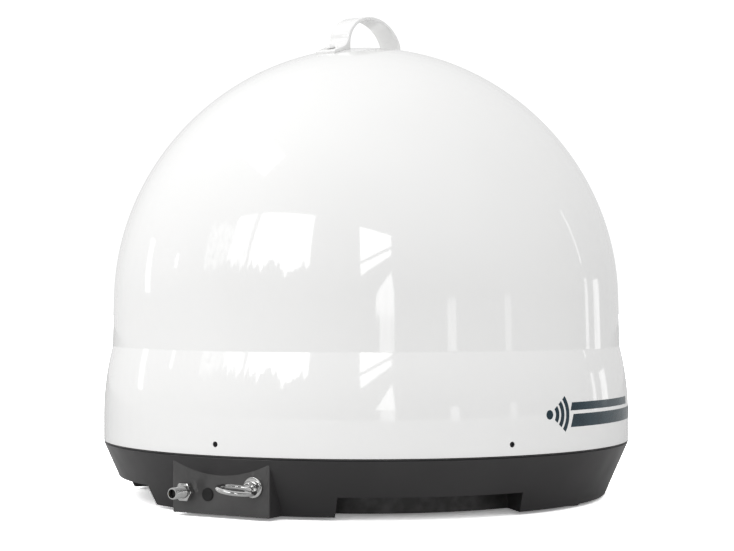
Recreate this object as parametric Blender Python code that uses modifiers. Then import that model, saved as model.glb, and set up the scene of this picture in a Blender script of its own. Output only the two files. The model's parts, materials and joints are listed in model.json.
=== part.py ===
# Portable satellite-television dome antenna: a glossy plastic radome over a base pan with four grip
# recesses, a strap handle on top, a connector panel, and a motor-driven dish inside.
# Metres, +Z up. The origin is on the dome's axis, level with the soles of the rubber feet.
# The connector panel faces (-X, -Y); the four grip recesses face -X, +X, -Y and +Y.

import math

import bmesh
import bpy
from mathutils import Vector

MM = 0.001
GAP = 0.3 * MM
ROUND_STEPS = 48

# Dome cover
SKIRT_RADIUS = 235.0 * MM
RIM_HEIGHT = 50.5 * MM
SKIRT_TOP = 73.0 * MM
CREASE_HEIGHT = 133.0 * MM
CREASE_RADIUS = 227.35 * MM
BAND_TOP = 180.0 * MM
DOME_RADIUS = 226.1 * MM
DOME_SPRING = 174.0 * MM
DOME_RISE = 226.45 * MM
DOME_POWER = 1.963
DOME_WALL = 3.0 * MM
DOME_APEX = DOME_SPRING + DOME_RISE

# Base pan
BASE_TOP_RADIUS = 234.5 * MM
BASE_FOOT_RADIUS = 213.9 * MM
BASE_TOP = 48.9 * MM
UNDERSIDE = 2.5 * MM
BASE_WALL = 3.0 * MM
SPIGOT_OUTER = 230.7 * MM
SPIGOT_INNER = 227.3 * MM
SPIGOT_TOP = 68.5 * MM
RECESS_HALF_WIDTH = 76.6 * MM
RECESS_RADIUS = 186.0 * MM
RECESS_CEILING = 19.2 * MM
FOOT_CIRCLE = 196.0 * MM
FLOOR = UNDERSIDE + BASE_WALL

# Connector panel
PANEL_ANGLE = math.radians(-45)
PANEL_FACE = 228.2 * MM
PANEL_HALF_WIDTH = 46.7 * MM
PANEL_TOP = 46.0 * MM
CONNECTOR_X, CONNECTOR_Z = -32.8 * MM, 19.7 * MM
PLUG_X, PLUG_Z = -11.7 * MM, 18.6 * MM
EYE_X, EYE_Z = 32.5 * MM, 26.5 * MM
EYE_RING_RADIUS = 14.6 * MM
EYE_WIRE_RADIUS = 1.9 * MM
EYE_REACH = 24.5 * MM
EYE_TILT = math.radians(8)

# Dome screws
SCREW_COUNT = 6
SCREW_HEIGHT = 59.5 * MM
SCREW_START = math.radians(225)

# Carry handle
HANDLE_WIDTH = 20.0 * MM
HANDLE_HALF_SPAN = 47.5 * MM
HANDLE_RISE = 28.4 * MM
GRIP_HALF_SPAN = 43.5 * MM
GRIP_RISE = 25.9 * MM
TAB_END = 70.5 * MM
TAB_THICKNESS = 2.6 * MM
FLARE_HEIGHT = 5.7 * MM
FLARE_LENGTH = 4.0 * MM
HANDLE_SCREW_RADIUS = 60.0 * MM

# Azimuth stage
AZIMUTH_MODULE, AZIMUTH_TEETH, PINION_TEETH = 2.0 * MM, 90, 15
GEAR_BOTTOM = 40.0 * MM
GEAR_THICKNESS = 6.0 * MM
TURNTABLE_TOP = 50.0 * MM
TURNTABLE_RADIUS = 95.0 * MM
JOURNAL_RADIUS = 8.0 * MM

# Elevation stage: its axle is along X through this height
AXLE_HEIGHT = 228.0 * MM
REST_ELEVATION = math.radians(35)
YOKE_INNER = 168.5 * MM
YOKE_PLATE = 2.5 * MM
YOKE_TOP = 255.0 * MM
YOKE_HALF_DEPTH = 25.0 * MM
ELEVATION_TEETH = 60
SIDE_GEAR_X = 164.3 * MM
SIDE_GEAR_THICKNESS = 3.5 * MM
DISH_RADIUS = 155.0 * MM
DISH_FOCUS = 108.5 * MM
DISH_VERTEX = -20.0 * MM
DISH_WALL = 1.5 * MM
FRAME_HALF_WIDTH = 164.0 * MM
FRAME_BACK = -34.0 * MM

# Skew stage: the feed converter turns about the dish's own axis
SKEW_MODULE, SKEW_TEETH, SKEW_PINION_TEETH = 1.5 * MM, 40, 16
SKEW_GEAR_BACK = -64.0 * MM
SKEW_GEAR_THICKNESS = 4.0 * MM

# Control board
BOARD_CENTRE = (-95.0 * MM, -8.0 * MM)
BOARD_SIZE = (80.0 * MM, 110.0 * MM)
BOARD_BOTTOM = 12.0 * MM


def clear_scene():
    for obj in list(bpy.data.objects):
        bpy.data.objects.remove(obj, do_unlink=True)


def new_collection(name, hidden=False):
    collection = bpy.data.collections.new(name)
    collection.hide_render = hidden
    bpy.context.scene.collection.children.link(collection)
    return collection


def material(name, colour, roughness, metallic=0.0):
    mat = bpy.data.materials.new(name)
    mat.use_nodes = True
    shader = mat.node_tree.nodes["Principled BSDF"]
    shader.inputs["Base Color"].default_value = (*colour, 1.0)
    shader.inputs["Roughness"].default_value = roughness
    shader.inputs["Metallic"].default_value = metallic
    return mat


def empty(name, location=(0, 0, 0), rotation=(0, 0, 0)):
    obj = bpy.data.objects.new(name, None)
    obj.location = location
    obj.rotation_euler = rotation
    PARTS.objects.link(obj)
    return obj


def place(name, mesh, finish, location=(0, 0, 0), rotation=(0, 0, 0), parent=None, cutter=False):
    obj = bpy.data.objects.new(name, mesh)
    obj.location = location
    obj.rotation_euler = rotation
    obj.parent = parent
    if cutter:
        CUTTERS.objects.link(obj)
        obj.hide_render = True
        obj.display_type = "WIRE"
        return obj
    PARTS.objects.link(obj)
    mesh.materials.clear()
    mesh.materials.append(finish)
    return obj


def turned(name, profile, finish, steps=ROUND_STEPS, closed=True, **where):
    # A profile of (radius, height) points that runs down its outer side, spun about Z.
    mesh = bpy.data.meshes.new(name)
    points = [(radius, 0, height) for radius, height in profile]
    edges = [(i, i + 1) for i in range(len(points) - 1)]
    if closed:
        edges.append((len(points) - 1, 0))
    mesh.from_pydata(points, edges, [])
    obj = place(name, mesh, finish, **where)
    screw = obj.modifiers.new("spin", "SCREW")
    screw.axis = "Z"
    screw.steps = steps
    screw.render_steps = steps
    screw.use_merge_vertices = True
    screw.merge_threshold = 0.00001
    screw.use_smooth_shade = steps > 8
    return obj


def ring(name, outer, inner, low, high, finish, steps=24, **where):
    profile = [(outer, high), (outer, low), (inner, low), (inner, high)]
    return turned(name, profile, finish, steps=steps, **where)


def disc(name, radius, low, high, finish, steps=24, **where):
    profile = [(0, high), (radius, high), (radius, low), (0, low)]
    return turned(name, profile, finish, steps=steps, closed=False, **where)


def box(name, low, high, finish, bevel=0.0, **where):
    mesh = bpy.data.meshes.new(name)
    shape = bmesh.new()
    bmesh.ops.create_cube(shape, size=1.0)
    size = [b - a for a, b in zip(low, high)]
    middle = [(a + b) / 2 for a, b in zip(low, high)]
    bmesh.ops.scale(shape, vec=size, verts=shape.verts)
    bmesh.ops.translate(shape, vec=middle, verts=shape.verts)
    shape.to_mesh(mesh)
    shape.free()
    obj = place(name, mesh, finish, **where)
    if bevel:
        add_bevel(obj, bevel)
    return obj


def flat_solid(name, outlines, low, high, finish, **where):
    # Closed outlines in the XY plane, the first the edge and the others holes, from low to high.
    curve = bpy.data.curves.new(name, "CURVE")
    curve.dimensions = "2D"
    curve.fill_mode = "BOTH"
    curve.extrude = (high - low) / 2
    for outline in outlines:
        spline = curve.splines.new("POLY")
        spline.points.add(len(outline) - 1)
        for point, (x, y) in zip(spline.points, outline):
            point.co = (x, y, 0, 1)
        spline.use_cyclic_u = True
    holder = bpy.data.objects.new(name + "_curve", curve)
    bpy.context.scene.collection.objects.link(holder)
    bpy.context.view_layer.update()
    graph = bpy.context.evaluated_depsgraph_get()
    mesh = bpy.data.meshes.new_from_object(holder.evaluated_get(graph))
    bpy.data.objects.remove(holder, do_unlink=True)
    shape = bmesh.new()
    shape.from_mesh(mesh)
    bmesh.ops.remove_doubles(shape, verts=shape.verts, dist=0.00001)
    bmesh.ops.translate(shape, vec=(0, 0, (low + high) / 2), verts=shape.verts)
    bmesh.ops.recalc_face_normals(shape, faces=shape.faces)
    shape.to_mesh(mesh)
    shape.free()
    mesh.name = name
    return place(name, mesh, finish, **where)


def hex_nut(name, corner_radius, bore, low, high, finish, **where):
    return flat_solid(name, [circle(corner_radius, 6), circle(bore, 18)], low, high, finish, **where)


def tube_along(name, points, radius, finish, **where):
    curve = bpy.data.curves.new(name, "CURVE")
    curve.dimensions = "3D"
    curve.bevel_depth = radius
    curve.bevel_resolution = 2
    curve.use_fill_caps = True
    spline = curve.splines.new("POLY")
    spline.points.add(len(points) - 1)
    for point, place_at in zip(spline.points, points):
        point.co = (*place_at, 1)
    return place(name, curve, finish, **where)


def circle(radius, steps=24, centre=(0, 0)):
    turn = 2 * math.pi / steps
    return [
        (centre[0] + radius * math.cos(i * turn), centre[1] + radius * math.sin(i * turn))
        for i in range(steps)
    ]


def add_bevel(obj, width, segments=2):
    bevel = obj.modifiers.new("soft edges", "BEVEL")
    bevel.width = width
    bevel.segments = segments
    bevel.limit_method = "ANGLE"


def combine(obj, other, operation="DIFFERENCE"):
    boolean = obj.modifiers.new(operation.lower() + " " + other.name, "BOOLEAN")
    boolean.operation = operation
    boolean.object = other
    boolean.solver = "EXACT"


def dome_height(radius):
    return DOME_SPRING + DOME_RISE * (1 - (radius / DOME_RADIUS) ** DOME_POWER) ** (1 / DOME_POWER)


def dome_tilt(radius):
    step = 0.5 * MM
    slope = (dome_height(radius + step) - dome_height(radius - step)) / (2 * step)
    return math.atan(-slope)


def dome_profile(inset, dome_shares, skirt_shares):
    # From the apex down the dome to a straight tapered band, past the crease below it and down
    # the flared skirt to the rim.
    power = 2 / DOME_POWER
    band_angle = math.asin(((BAND_TOP - DOME_SPRING) / DOME_RISE) ** (1 / power))
    points = [(0, DOME_APEX - inset)]
    for share in dome_shares:
        angle = math.pi / 2 - share * (math.pi / 2 - band_angle)
        radius = (DOME_RADIUS - inset) * math.cos(angle) ** power
        height = DOME_SPRING + (DOME_RISE - inset) * math.sin(angle) ** power
        points.append((radius, height))
    for share in skirt_shares:
        height = SKIRT_TOP + share * (CREASE_HEIGHT - SKIRT_TOP)
        radius = SKIRT_RADIUS - (SKIRT_RADIUS - CREASE_RADIUS) * share**2
        points.append((radius - inset, height))
    points.append((SKIRT_RADIUS - inset, RIM_HEIGHT))
    return points


def dome_screw_cutters():
    # A counterbore in the skirt and a clearance hole through the skirt and the spigot behind it.
    cutters = []
    profile = [(0, 3), (2.7, 3), (2.7, -1.6), (1.9, -1.6), (1.9, -12), (0, -12)]
    profile = [(radius * MM, height * MM) for radius, height in profile]
    for i in range(SCREW_COUNT):
        angle = SCREW_START + i * 2 * math.pi / SCREW_COUNT
        holder = empty(f"screw_axis_{i + 1}", rotation=(0, math.pi / 2, angle))
        holder.location = Vector((math.cos(angle), math.sin(angle), 0)) * SKIRT_RADIUS
        holder.location.z = SCREW_HEIGHT
        # A small turn keeps the hole's corners off the edges of the walls it goes through.
        hole = turned(
            f"screw_hole_{i + 1}", profile, None, steps=12, closed=False, parent=holder, cutter=True,
            rotation=(0, 0, math.radians(10)),
        )
        cutters.append(hole)
    return cutters


def make_dome_cover(screw_holes):
    rows = 12
    outer = dome_profile(0.0, [i / rows for i in range(1, rows + 1)], (1.0, 0.8, 0.55, 0.3, 0.0))
    inner = dome_profile(DOME_WALL, [i / rows for i in (1, 2, 3, 5, 7, 9, 12)], (1.0, 0.0))
    cover = turned("dome_cover", outer + inner[::-1], WHITE_PLASTIC, closed=False)
    for hole in screw_holes:
        combine(cover, hole)
    for side in (-1, 1):
        where = handle_screw_place(side)
        hole = disc(
            f"handle_hole_{side + 2}", 2.4 * MM, -8 * MM, 8 * MM, None, steps=12, cutter=True, **where
        )
        combine(cover, hole)
    return cover


def recess_outline(half_width, radius):
    # The pocket's plan, opening towards -Y: an arc about the dome's axis, then two straight sides.
    reach = 270 * MM
    half_angle = math.asin(half_width / radius)
    arc = []
    for i in range(9):
        angle = -math.pi / 2 - half_angle + i * half_angle / 4
        arc.append((radius * math.cos(angle), radius * math.sin(angle)))
    return arc + [(half_width, -reach), (-half_width, -reach)]


def base_cone_radius(height):
    share = (height - UNDERSIDE) / (BASE_TOP - UNDERSIDE)
    return BASE_FOOT_RADIUS + share * (BASE_TOP_RADIUS - BASE_FOOT_RADIUS)


def make_base_pan(screw_holes):
    edge = 2.0 * MM
    outer = [
        (0, SPIGOT_TOP),
        (SPIGOT_OUTER, SPIGOT_TOP),
        (SPIGOT_OUTER, BASE_TOP),
        (BASE_TOP_RADIUS, BASE_TOP),
        (base_cone_radius(UNDERSIDE + edge), UNDERSIDE + edge),
        (BASE_FOOT_RADIUS - edge, UNDERSIDE),
        (0, UNDERSIDE),
    ]
    pan = turned("base_pan", outer, DARK_PLASTIC, closed=False)
    block = box(
        "panel_block",
        (-PANEL_HALF_WIDTH, -PANEL_FACE, UNDERSIDE),
        (PANEL_HALF_WIDTH, -180 * MM, PANEL_TOP),
        None,
        parent=PANEL,
        cutter=True,
    )
    combine(pan, block, "UNION")

    shoulder = 40.0 * MM
    room = [
        (0, SPIGOT_TOP + 5 * MM),
        (SPIGOT_INNER, SPIGOT_TOP + 5 * MM),
        (SPIGOT_INNER, BASE_TOP - BASE_WALL),
        (base_cone_radius(shoulder) - BASE_WALL - 1 * MM, shoulder),
        (base_cone_radius(FLOOR) - BASE_WALL - 1 * MM, FLOOR),
        (0, FLOOR),
    ]
    cavity = turned("inner_room", room, None, closed=False, cutter=True)
    panel_room = box(
        "panel_room",
        (BASE_WALL - PANEL_HALF_WIDTH, BASE_WALL - PANEL_FACE, FLOOR),
        (PANEL_HALF_WIDTH - BASE_WALL, -150 * MM, 34 * MM),
        None,
        parent=PANEL,
        cutter=True,
    )
    combine(cavity, panel_room, "UNION")
    pocket = recess_outline(RECESS_HALF_WIDTH, RECESS_RADIUS)
    pocket_walls = recess_outline(RECESS_HALF_WIDTH + BASE_WALL, RECESS_RADIUS - BASE_WALL)
    for i in range(4):
        turn = (0, 0, i * math.pi / 2)
        walls = flat_solid(
            f"pocket_walls_{i + 1}", [pocket_walls], -9 * MM, RECESS_CEILING + BASE_WALL, None,
            rotation=turn, cutter=True,
        )
        combine(cavity, walls)
        space = flat_solid(
            f"pocket_{i + 1}", [pocket], -9 * MM, RECESS_CEILING, None, rotation=turn, cutter=True
        )
        combine(pan, space)
    for hole in screw_holes:
        combine(pan, hole)
    combine(pan, cavity)
    for name, x, z, radius in (
        ("connector", CONNECTOR_X, CONNECTOR_Z, 5.1 * MM),
        ("plug", PLUG_X, PLUG_Z, 4.0 * MM),
        ("eye", EYE_X, EYE_Z, 3.4 * MM),
    ):
        where = panel_place(x, z)
        hole = disc(name + "_hole", radius, -9 * MM, 5 * MM, None, steps=16, cutter=True, **where)
        combine(pan, hole)
    return pan


def make_dome_seal():
    outer, inner = 233.6 * MM, 231.1 * MM
    return ring("dome_seal", outer, inner, BASE_TOP + GAP, RIM_HEIGHT - GAP, RUBBER, steps=ROUND_STEPS)


def make_dome_screws():
    profile = [(0, -0.3), (1.6, -0.3), (2.3, -0.6), (2.3, -1.3), (1.55, -1.3), (1.55, -10.5), (0, -10.5)]
    profile = [(radius * MM, height * MM) for radius, height in profile]
    for i in range(SCREW_COUNT):
        holder = bpy.data.objects[f"screw_axis_{i + 1}"]
        turned(f"dome_screw_{i + 1}", profile, BLACK_STEEL, steps=12, closed=False, parent=holder)


def make_feet():
    profile = [(0, 2.2), (11, 2.2), (12, 1.6), (12, 0.6), (11.4, 0), (0, 0)]
    profile = [(radius * MM, height * MM) for radius, height in profile]
    for i in range(4):
        angle = math.pi / 4 + i * math.pi / 2
        spot = (FOOT_CIRCLE * math.cos(angle), FOOT_CIRCLE * math.sin(angle), 0)
        turned(f"rubber_foot_{i + 1}", profile, RUBBER, steps=24, closed=False, location=spot)


def handle_screw_place(side):
    # side -1 is over the connector panel, +1 is opposite; the screw stands square to the dome.
    tilt = -side * dome_tilt(HANDLE_SCREW_RADIUS)
    spot = (0, side * HANDLE_SCREW_RADIUS, dome_height(HANDLE_SCREW_RADIUS))
    return {"location": spot, "rotation": (tilt, 0, 0), "parent": PANEL}


def handle_outline():
    # In the handle's own plane: across the arch from tab to tab, then back under it.
    def dome(u):
        return dome_height(abs(u)) + GAP

    flare = []
    for i in range(7):
        u = TAB_END + (HANDLE_HALF_SPAN - 0.8 * MM - TAB_END) * (i / 6) ** 0.7
        lift = TAB_THICKNESS + FLARE_HEIGHT * math.exp(-(u - HANDLE_HALF_SPAN + 0.8 * MM) / FLARE_LENGTH)
        flare.append((u, dome(u) + lift))
    arch = []
    for i in range(1, 20):
        angle = math.pi * i / 20
        height = DOME_APEX + HANDLE_RISE * math.sin(angle)
        if height > flare[-1][1] + 2 * MM:
            arch.append((HANDLE_HALF_SPAN * math.cos(angle), height))
    grip = []
    for i in range(17):
        angle = math.pi * i / 16
        grip.append((GRIP_HALF_SPAN * math.cos(angle), DOME_APEX + GRIP_RISE * math.sin(angle)))
    under = []
    for i in range(5):
        u = GRIP_HALF_SPAN + (TAB_END - GRIP_HALF_SPAN) * i / 4
        under.append((u, dome(u)))
    right = flare + arch
    left = [(-u, h) for u, h in flare[::-1]]
    return right + left + [(-u, h) for u, h in under[::-1]] + grip[::-1] + under


def make_carry_handle():
    # The outline stands upright in the plane through the panel's middle and the dome's axis.
    half = HANDLE_WIDTH / 2
    handle = flat_solid(
        "carry_handle", [handle_outline()], -half, half, WHITE_PLASTIC,
        rotation=(math.pi / 2, 0, math.pi / 2), parent=PANEL,
    )
    for side in (-1, 1):
        hole = disc(
            f"tab_hole_{side + 2}", 2.4 * MM, -8 * MM, 12 * MM, None, steps=12, cutter=True,
            **handle_screw_place(side),
        )
        combine(handle, hole)
    return handle


def make_handle_fixings():
    screw = [(0, 6.2), (2.6, 5.7), (4.2, 4.2), (4.2, 3.3), (2.0, 3.3), (2.0, -9.5), (0, -9.5)]
    screw = [(radius * MM, height * MM) for radius, height in screw]
    for name, side in (("front", -1), ("rear", 1)):
        where = handle_screw_place(side)
        turned("handle_screw_" + name, screw, STEEL, steps=16, closed=False, **where)
        hex_nut("handle_nut_" + name, 4.6 * MM, 2.3 * MM, -7.6 * MM, -4.5 * MM, STEEL, **where)


def panel_place(x, z):
    # Local +Z points straight out of the panel, and 0 is its face.
    return {"location": (x, -PANEL_FACE, z), "rotation": (math.pi / 2, 0, 0), "parent": PANEL}


def make_coax_connector():
    where = panel_place(CONNECTOR_X, CONNECTOR_Z)
    body = [(3.6, 19.6), (4.4, 19.6), (4.75, 19.2), (4.75, -3.3), (7.0, -3.3), (7.0, -6.5), (4.75, -6.5)]
    body += [(4.75, -14), (3.6, -14)]
    body = [(radius * MM, height * MM) for radius, height in body]
    turned("coax_connector", body, CHROME, steps=24, **where)
    hex_nut("coax_connector_nut", 8.1 * MM, 5.1 * MM, 0.3 * MM, 5.3 * MM, CHROME, **where)
    ring("coax_insulator", 3.3 * MM, 0.7 * MM, -13.5 * MM, 15.2 * MM, BLACK_PLASTIC, steps=16, **where)


def make_blanking_plug():
    profile = [(0, 2.0), (4.6, 2.0), (5.3, 1.4), (5.3, 0.3), (3.7, 0.3), (3.7, -7), (0, -7)]
    profile = [(radius * MM, height * MM) for radius, height in profile]
    turned("blanking_plug", profile, RUBBER, steps=24, closed=False, **panel_place(PLUG_X, PLUG_Z))


def make_security_eye():
    where = panel_place(EYE_X, EYE_Z)
    shank = [(0, EYE_REACH / MM - EYE_RING_RADIUS / MM), (3.4, 8.5), (5.4, 7.0), (5.4, 2.6)]
    shank += [(3.0, 2.6), (3.0, -14), (0, -14)]
    shank = [(radius * MM, height * MM) for radius, height in shank]
    bolt = turned("security_eye_bolt", shank, CHROME, steps=16, closed=False, **where)
    steps = 10
    section = [
        (
            EYE_RING_RADIUS + EYE_WIRE_RADIUS * math.cos(2 * math.pi * i / steps),
            -EYE_WIRE_RADIUS * math.sin(2 * math.pi * i / steps),
        )
        for i in range(steps)
    ]
    loop = turned(
        "eye_loop", section, None, steps=24,
        location=(EYE_X, -PANEL_FACE - EYE_REACH, EYE_Z), rotation=(0, EYE_TILT, 0), parent=PANEL,
        cutter=True,
    )
    combine(bolt, loop, "UNION")
    ring("security_eye_washer", 8.5 * MM, 3.4 * MM, 0.3 * MM, 2.3 * MM, CHROME, **where)
    hex_nut("security_eye_nut", 6.4 * MM, 3.4 * MM, -8.3 * MM, -3.3 * MM, STEEL, **where)
    hex_nut("security_eye_locknut", 6.4 * MM, 3.4 * MM, -12.8 * MM, -8.6 * MM, STEEL, **where)


def make_control_board():
    (x, y), (wide, deep) = BOARD_CENTRE, BOARD_SIZE
    top = BOARD_BOTTOM + 1.6 * MM
    box(
        "control_board", (x - wide / 2, y - deep / 2, BOARD_BOTTOM), (x + wide / 2, y + deep / 2, top),
        BOARD_GREEN,
    )
    box(
        "tuner_shield", (x - 20 * MM, y - 45 * MM, top + GAP), (x + 20 * MM, y + 5 * MM, top + 11 * MM),
        STEEL, bevel=0.6 * MM,
    )
    for i in range(4):
        dx = (wide / 2 - 5 * MM) * (1 if i % 2 else -1)
        dy = (deep / 2 - 5 * MM) * (1 if i // 2 else -1)
        disc(
            f"board_spacer_{i + 1}", 3.2 * MM, FLOOR + GAP, BOARD_BOTTOM - GAP, STEEL, steps=12,
            location=(x + dx, y + dy, 0),
        )


def curve_through(points, steps):
    # A Catmull-Rom curve through the points, the ends doubled.
    knots = [Vector(p) for p in (points[0], *points, points[-1])]
    path = []
    for i in range(1, len(knots) - 2):
        a, b, c, d = knots[i - 1 : i + 3]
        for s in range(steps):
            t = s / steps
            slope, bend, twist = c - a, 2 * a - 5 * b + 4 * c - d, 3 * b - a - 3 * c + d
            path.append(0.5 * (2 * b + slope * t + bend * t**2 + twist * t**3))
    path.append(knots[-1])
    return path


def make_coax_jumper():
    # From the back of the panel connector to the side of the tuner shield.
    start = PANEL.matrix_world @ Vector((CONNECTOR_X, 14.8 * MM - PANEL_FACE, CONNECTOR_Z))
    lead = PANEL.matrix_world @ Vector((CONNECTOR_X, 30 * MM - PANEL_FACE, CONNECTOR_Z))
    (x, y), height = BOARD_CENTRE, BOARD_BOTTOM + 7 * MM
    side = y - 45.5 * MM
    route = [start, lead, (x - 12 * MM, side - 26 * MM, 20 * MM)]
    route += [(x, side - 12 * MM, height), (x, side, height)]
    tube_along("coax_jumper", curve_through(route, 6), 1.75 * MM, RUBBER)


def gear_outline(module, teeth, first_tooth=0.0):
    # Straight-flanked teeth, a little thin so that a pair runs with backlash.
    pitch = module * teeth / 2
    step = 2 * math.pi / teeth
    tip, root = pitch + 0.75 * module, pitch - 1.05 * module
    outline = []
    for i in range(teeth):
        centre = first_tooth + i * step
        for radius, share in ((root, -0.28), (tip, -0.09), (tip, 0.09), (root, 0.28)):
            angle = centre + share * step
            outline.append((radius * math.cos(angle), radius * math.sin(angle)))
    return outline


def make_azimuth_stage():
    r = JOURNAL_RADIUS
    post = [(4 * MM, 62 * MM), (r, 62 * MM), (r, 38 * MM), (12 * MM, 38 * MM), (12 * MM, 9.8 * MM)]
    post += [(32 * MM, 9.8 * MM), (32 * MM, FLOOR + GAP), (4 * MM, FLOOR + GAP)]
    turned("spindle_post", post, CAST_METAL, steps=24)
    ring("spindle_collar", 13 * MM, r + GAP, TURNTABLE_TOP + GAP, 56 * MM, STEEL)

    gear_top = GEAR_BOTTOM + GEAR_THICKNESS
    outline = gear_outline(AZIMUTH_MODULE, AZIMUTH_TEETH, math.pi / 2)
    flat_solid("azimuth_gear", [outline, circle(68 * MM, 36)], GEAR_BOTTOM, gear_top, NATURAL_PLASTIC)
    hub, low = 18 * MM, gear_top + GAP
    table = [(r + GAP, TURNTABLE_TOP), (TURNTABLE_RADIUS, TURNTABLE_TOP), (TURNTABLE_RADIUS, low)]
    table += [(hub, low), (hub, 38 * MM + GAP), (r + GAP, 38 * MM + GAP)]
    turned("turntable", table, BLACK_PLASTIC, steps=36)

    motor_at = AZIMUTH_MODULE * (AZIMUTH_TEETH + PINION_TEETH) / 2
    half_tooth = math.pi / PINION_TEETH
    pinion = gear_outline(AZIMUTH_MODULE, PINION_TEETH, -math.pi / 2 + half_tooth)
    flat_solid(
        "azimuth_pinion", [pinion, circle(2.6 * MM, 12)], GEAR_BOTTOM, gear_top, BRASS,
        location=(0, motor_at, 0),
    )
    motor = [(0, 47 * MM), (2.2 * MM, 47 * MM), (2.2 * MM, 36 * MM), (21 * MM, 36 * MM)]
    motor += [(21 * MM, FLOOR + GAP), (0, FLOOR + GAP)]
    turned("azimuth_motor", motor, BLACK_STEEL, steps=24, closed=False, location=(0, motor_at, 0))


def make_yoke(name, side):
    # An L bracket: its foot on the turntable, its upright beside the dish.
    inner, outer = YOKE_INNER, YOKE_INNER + YOKE_PLATE
    low = TURNTABLE_TOP + GAP
    profile = [(40 * MM, low), (outer, low), (outer, YOKE_TOP), (inner, YOKE_TOP)]
    profile += [(inner, low + YOKE_PLATE), (40 * MM, low + YOKE_PLATE)]
    profile = [(side * x, z) for x, z in profile]
    yoke = flat_solid(
        name, [profile], -YOKE_HALF_DEPTH, YOKE_HALF_DEPTH, CAST_METAL, rotation=(math.pi / 2, 0, 0)
    )
    pivot = disc(
        name + "_pivot_hole", 8.3 * MM, 150 * MM, 190 * MM, None, cutter=True,
        location=(0, 0, AXLE_HEIGHT), rotation=(0, side * math.pi / 2, 0),
    )
    combine(yoke, pivot)
    return yoke


def make_elevation_stage():
    make_yoke("yoke_left", -1)
    right = make_yoke("yoke_right", 1)
    pinion_height = AXLE_HEIGHT - AZIMUTH_MODULE * (ELEVATION_TEETH + PINION_TEETH) / 2
    across = (0, math.pi / 2, 0)
    shaft_hole = disc(
        "motor_shaft_hole", 3.5 * MM, 150 * MM, 190 * MM, None, steps=12, cutter=True,
        location=(0, 0, pinion_height), rotation=across,
    )
    combine(right, shaft_hole)
    x0, x1 = YOKE_INNER + YOKE_PLATE + GAP, 200 * MM
    motor = [(0, x1), (17 * MM, x1), (17 * MM, x0), (2.2 * MM, x0), (2.2 * MM, SIDE_GEAR_X), (0, SIDE_GEAR_X)]
    turned(
        "elevation_motor", motor, BLACK_STEEL, steps=24, closed=False,
        location=(0, 0, pinion_height), rotation=across,
    )
    far = SIDE_GEAR_X + SIDE_GEAR_THICKNESS
    pinion = gear_outline(AZIMUTH_MODULE, PINION_TEETH, math.pi + math.pi / PINION_TEETH)
    flat_solid(
        "elevation_pinion", [pinion, circle(2.6 * MM, 12)], SIDE_GEAR_X, far, BRASS,
        location=(0, 0, pinion_height), rotation=across,
    )
    wheel = gear_outline(AZIMUTH_MODULE, ELEVATION_TEETH)
    flat_solid(
        "elevation_gear", [wheel, circle(5.3 * MM, 16)], SIDE_GEAR_X, far, NATURAL_PLASTIC,
        location=(0, 0, AXLE_HEIGHT), rotation=across,
    )
    bush = [(8.0, 168.3), (8.0, 171.3), (10.5, 171.3), (10.5, 173.3), (5.3, 173.3), (5.3, 168.3)]
    bush = [(radius * MM, height * MM) for radius, height in bush[::-1]]
    axle = [(0, 174), (5.0, 174), (5.0, 159.7), (9.0, 159.7), (9.0, 157), (0, 157)]
    axle = [(radius * MM, height * MM) for radius, height in axle]
    for name, side in (("left", -1), ("right", 1)):
        where = {"location": (0, 0, AXLE_HEIGHT), "rotation": (0, side * math.pi / 2, 0)}
        turned("elevation_bush_" + name, bush, BRASS, steps=24, **where)
        turned("elevation_axle_" + name, axle, STEEL, steps=16, closed=False, **where)


def make_dish():
    def front(radius):
        return DISH_VERTEX + radius**2 / (4 * DISH_FOCUS)

    hole, rows = 14 * MM, 5
    radii = [hole + (DISH_RADIUS - hole) * i / rows for i in range(rows + 1)]
    face = [(radius, front(radius)) for radius in radii]
    back = [(radius, front(radius) - DISH_WALL) for radius in radii[::-1]]
    turned("dish_reflector", face + back, DISH_METAL, steps=36, parent=ELEVATION)


def make_dish_frame():
    wide, back, sheet = FRAME_HALF_WIDTH, FRAME_BACK, 4 * MM
    tab = 14 * MM
    outline = [(-wide, back), (wide, back), (wide, tab), (wide - sheet, tab), (wide - sheet, back + sheet)]
    outline += [(sheet - wide, back + sheet), (sheet - wide, tab), (-wide, tab)]
    frame = flat_solid(
        "dish_frame", [outline], -tab, tab, CAST_METAL, rotation=(math.pi / 2, 0, 0), parent=ELEVATION
    )
    feed_hole = disc("feed_hole", 11 * MM, -50 * MM, -20 * MM, None, cutter=True, parent=ELEVATION)
    axle_hole = disc(
        "axle_hole", 5.3 * MM, -180 * MM, 180 * MM, None, steps=16, cutter=True,
        rotation=(0, math.pi / 2, 0), parent=ELEVATION,
    )
    combine(frame, feed_hole)
    combine(frame, axle_hole)


def make_feed():
    tube = [(9, 62), (9, -28), (10.4, -28), (10.4, -56), (7, -56), (7, 62)]
    tube = [(radius * MM, height * MM) for radius, height in tube]
    turned("feed_tube", tube, DISH_METAL, steps=24, parent=ELEVATION)
    splash = [(0, 72), (20, 70), (22, 67), (22, 65), (8, 62.3), (0, 62.3)]
    splash = [(radius * MM, height * MM) for radius, height in splash]
    turned("sub_reflector", splash, DISH_METAL, steps=24, closed=False, parent=ELEVATION)


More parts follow.
